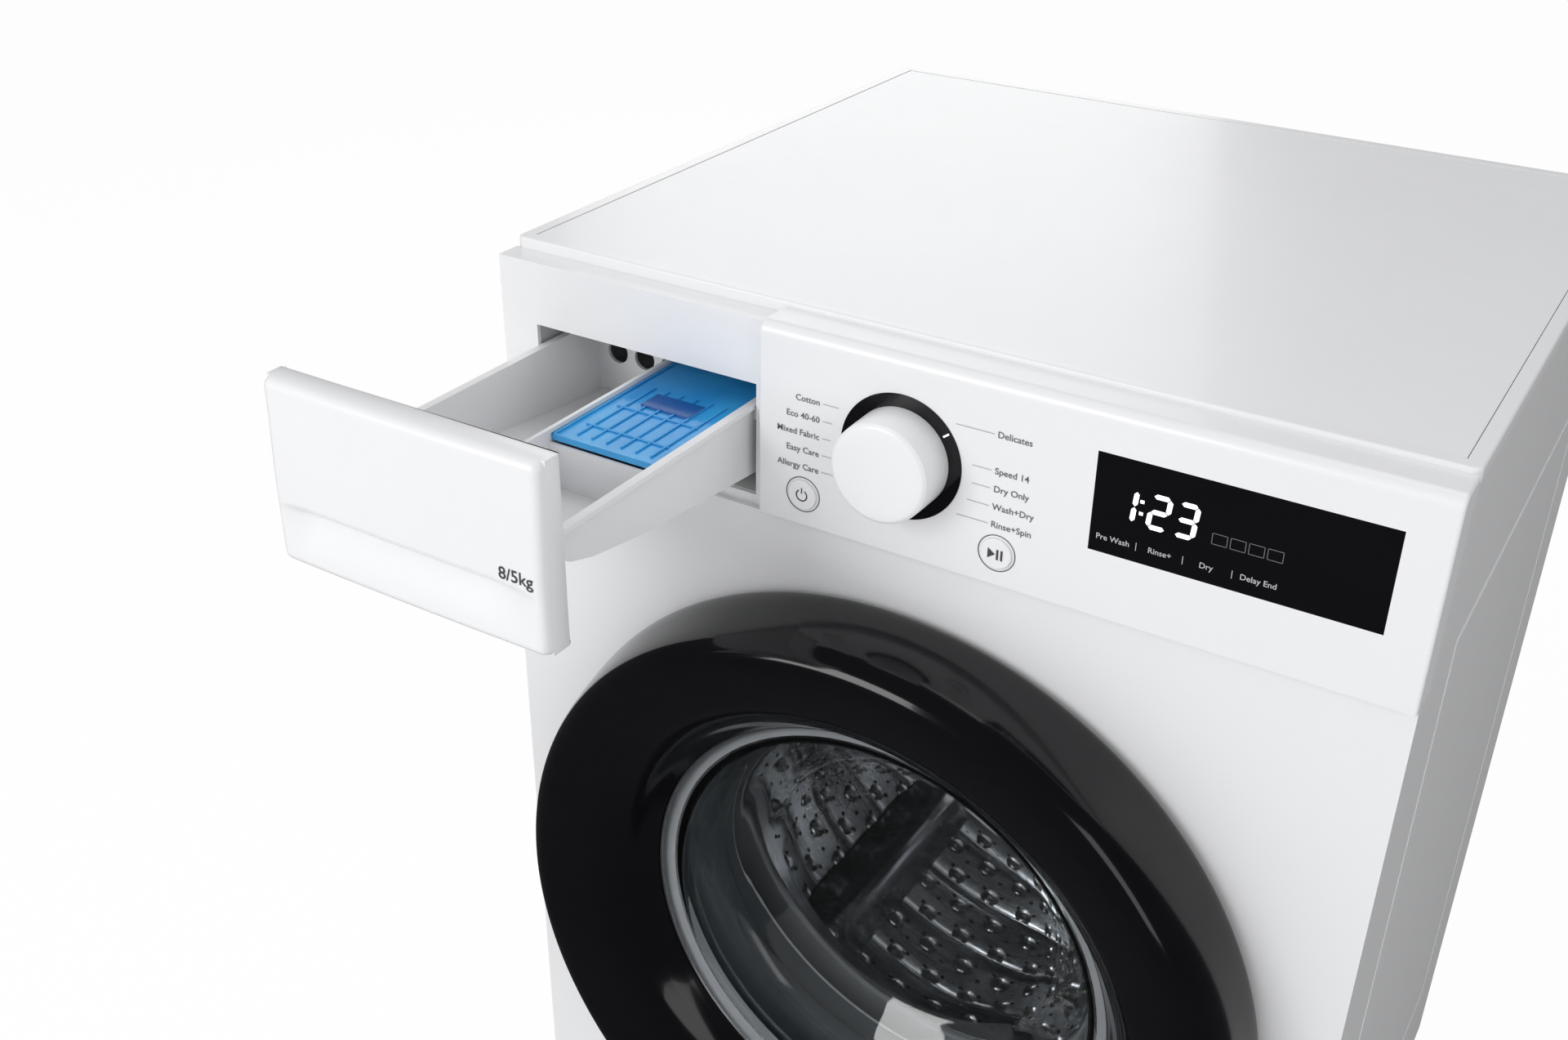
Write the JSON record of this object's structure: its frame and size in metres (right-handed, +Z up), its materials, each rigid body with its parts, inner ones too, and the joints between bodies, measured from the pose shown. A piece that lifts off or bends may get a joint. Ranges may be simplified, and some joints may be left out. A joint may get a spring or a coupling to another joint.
{
  "type": "front load washing machine",
  "caption": "Free-standing front load washing machine with a round dished door, rotary knob, display and pull-out detergent drawer.",
  "frame": {"origin": "centre of the machine's bounding box at floor level, with the drawer open", "axes": "+Z up, -Y out of the door side, +X to the right seen from the front"},
  "size_m": [0.6, 0.7674, 0.85],
  "materials": {
    "enamel_steel": "smooth white enamel",
    "zinc_steel": "zinc coated sheet",
    "white_plastic": "satin white moulding",
    "black_gloss": "piano black",
    "clear_glass": "clear",
    "display_black": "black glass",
    "grey_plastic": "moulded grey",
    "natural_plastic": "moulded natural grey-white",
    "blue_plastic": "glossy blue",
    "grey_rubber": "moulded grey rubber",
    "black_rubber": "moulded black rubber",
    "drum_steel": "polished stainless",
    "cast_aluminium": "as cast",
    "concrete": "cast block",
    "bright_steel": "turned",
    "board_green": "circuit board",
    "copper": "enamelled wire on laminated core",
    "board_wood": "laminated white board"
  },
  "bodies": {
    "cabinet": {"left_side_panel": "enamel_steel", "right_side_panel": "enamel_steel", "front_panel": "enamel_steel", "control_panel": "white_plastic", "drawer_surround": "white_plastic", "top_trim": "white_plastic", "top_board": "board_wood", "cross_braces": "zinc_steel", "rear_panel": "zinc_steel", "rear_cover": "zinc_steel", "base_pan": "grey_plastic", "casing_fasteners": "zinc_steel", "knob_ring": "black_gloss", "display_window": "display_black", "control_board": "board_green", "dispenser_housing": "natural_plastic", "inlet_valve": "grey_plastic", "fill_hose": "grey_rubber", "door_hinge_bracket": "zinc_steel", "door_lock": "grey_plastic", "door_gasket": "grey_rubber", "damper_cylinders": "grey_plastic", "drain_pump": "grey_plastic", "drain_hose": "grey_rubber", "sump_hose": "grey_rubber", "fill_bellows": "grey_rubber", "suspension_springs": "zinc_steel", "cord_gland": "grey_plastic"},
    "tub": {"tub_front": "natural_plastic", "tub_rear": "natural_plastic", "counterweights": "concrete", "tub_screws": "bright_steel", "bearings": "bright_steel", "stator": "copper", "heater": "bright_steel", "damper_rods": "bright_steel"},
    "drum": {"drum": "drum_steel", "drum_lifters": "natural_plastic", "drum_spider": "cast_aluminium", "drum_shaft": "bright_steel", "rotor": "bright_steel", "rotor_bolt": "bright_steel"},
    "door": {"door_ring": "black_gloss", "door_back_frame": "grey_plastic", "door_glass": "clear_glass", "door_hinge_arm": "zinc_steel"},
    "latch": {"door_hook": "bright_steel"},
    "drawer": {"drawer_front": "white_plastic", "drawer_body": "white_plastic", "softener_cap": "blue_plastic"},
    "knob": {"program_knob": "white_plastic"},
    "power_key": {"power_button": "white_plastic"},
    "start_key": {"start_button": "white_plastic"},
    "flap": {"service_flap": "white_plastic"},
    "filter": {"pump_filter": "grey_plastic"},
    "impeller": {"pump_impeller": "grey_plastic"},
    "foot_fl": {"foot_front_left": "black_rubber"},
    "foot_fr": {"foot_front_right": "black_rubber"},
    "foot_rl": {"foot_rear_left": "black_rubber"},
    "foot_rr": {"foot_rear_right": "black_rubber"}
  },
  "joints": [
    {"name": "drawer_slide", "type": "slide", "parent": "cabinet", "child": "drawer", "axis": [0, 1, 0], "range_m": [0, 0.187]},
    {"name": "door_hinge", "type": "hinge", "parent": "cabinet", "child": "door", "pos_m": [-0.2485, -0.21225, 0.42], "axis": [0, 0, -1], "range_deg": [0, 120]},
    {"name": "latch_pivot", "type": "hinge", "parent": "door", "child": "latch", "pos_m": [0.238, -0.19325, 0.42], "axis": [1, 0, 0], "range_deg": [0, 9], "stiffness_Nm_per_rad": 0.3, "springref_deg": -17.19},
    {"name": "knob_turn", "type": "hinge", "parent": "cabinet", "child": "knob", "pos_m": [0, -0.18425, 0.7855], "axis": [0, -1, 0], "continuous": true},
    {"name": "power_press", "type": "slide", "parent": "cabinet", "child": "power_key", "axis": [0, 1, 0], "range_m": [0, 0.0012], "stiffness_N_per_m": 800, "springref_m": -0.001},
    {"name": "start_press", "type": "slide", "parent": "cabinet", "child": "start_key", "axis": [0, 1, 0], "range_m": [0, 0.0012], "stiffness_N_per_m": 800, "springref_m": -0.001},
    {"name": "tub_float", "type": "slide", "parent": "cabinet", "child": "tub", "axis": [0, 0, 1], "range_m": [-0.006, 0.006], "stiffness_N_per_m": 60000, "springref_m": 0.00552, "deforming": ["suspension_springs", "door_gasket", "sump_hose", "fill_bellows"]},
    {"name": "drum_spin", "type": "hinge", "parent": "tub", "child": "drum", "pos_m": [0, 0.06575, 0.42], "axis": [0, -1, 0], "continuous": true},
    {"name": "flap_hinge", "type": "hinge", "parent": "cabinet", "child": "flap", "pos_m": [-0.2, -0.17325, 0.068], "axis": [1, 0, 0], "range_deg": [0, 95]},
    {"name": "filter_turn", "type": "hinge", "parent": "cabinet", "child": "filter", "pos_m": [-0.2, -0.14425, 0.105], "axis": [0, -1, 0], "range_deg": [0, 90]},
    {"name": "impeller_spin", "type": "hinge", "parent": "cabinet", "child": "impeller", "pos_m": [-0.2, -0.05425, 0.105], "axis": [0, -1, 0], "continuous": true},
    {"name": "foot_fl_turn", "type": "hinge", "parent": "cabinet", "child": "foot_fl", "pos_m": [-0.25, -0.12925, 0.01], "axis": [0, 0, 1], "continuous": true},
    {"name": "foot_fr_turn", "type": "hinge", "parent": "cabinet", "child": "foot_fr", "pos_m": [0.25, -0.12925, 0.01], "axis": [0, 0, 1], "continuous": true},
    {"name": "foot_rl_turn", "type": "hinge", "parent": "cabinet", "child": "foot_rl", "pos_m": [-0.25, 0.31675, 0.01], "axis": [0, 0, 1], "continuous": true},
    {"name": "foot_rr_turn", "type": "hinge", "parent": "cabinet", "child": "foot_rr", "pos_m": [0.25, 0.31675, 0.01], "axis": [0, 0, 1], "continuous": true}
  ]
}
